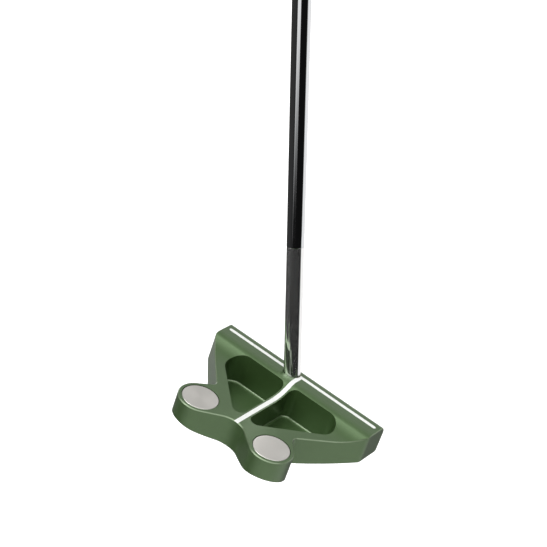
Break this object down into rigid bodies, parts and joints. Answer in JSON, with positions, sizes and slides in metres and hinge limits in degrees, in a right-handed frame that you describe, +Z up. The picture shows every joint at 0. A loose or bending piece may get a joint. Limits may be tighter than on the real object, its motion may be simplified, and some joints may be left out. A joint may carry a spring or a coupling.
{
  "type": "mallet putter",
  "caption": "Winged mallet putter head with round rear weights, open-topped pockets and white sight lines, on a straight chromed steel shaft with a rubber grip.",
  "frame": {"origin": "middle of the grip, on the shaft's axis, where the hands hold the club", "axes": "club at address: +X from heel to toe, +Y towards the target (out of the striking face), +Z up; the shaft leans 19 degrees towards the heel"},
  "size_m": [0.3487, 0.0827, 0.8316],
  "materials": {
    "green_anodised": "satin anodised",
    "weight_steel": "fine turned",
    "screw_steel": "plain",
    "white_paint": "smooth",
    "chrome": "mirror",
    "epoxy": "cast",
    "tip_plug": "moulded",
    "tape": "crepe",
    "grip_rubber": "fine texture",
    "cap_plastic": "moulded"
  },
  "bodies": {
    "root": {"head_body": "green_anodised", "heel_weight": "weight_steel", "toe_weight": "weight_steel", "heel_weight_screw": "screw_steel", "toe_weight_screw": "screw_steel", "heel_top_line_fill": "white_paint", "toe_top_line_fill": "white_paint", "centre_line_fill": "white_paint", "shaft": "chrome", "shaft_epoxy_bond": "epoxy", "shaft_tip_plug": "tip_plug", "grip_tape": "tape", "grip": "grip_rubber", "grip_end_cap": "cap_plastic"}
  },
  "joints": []
}
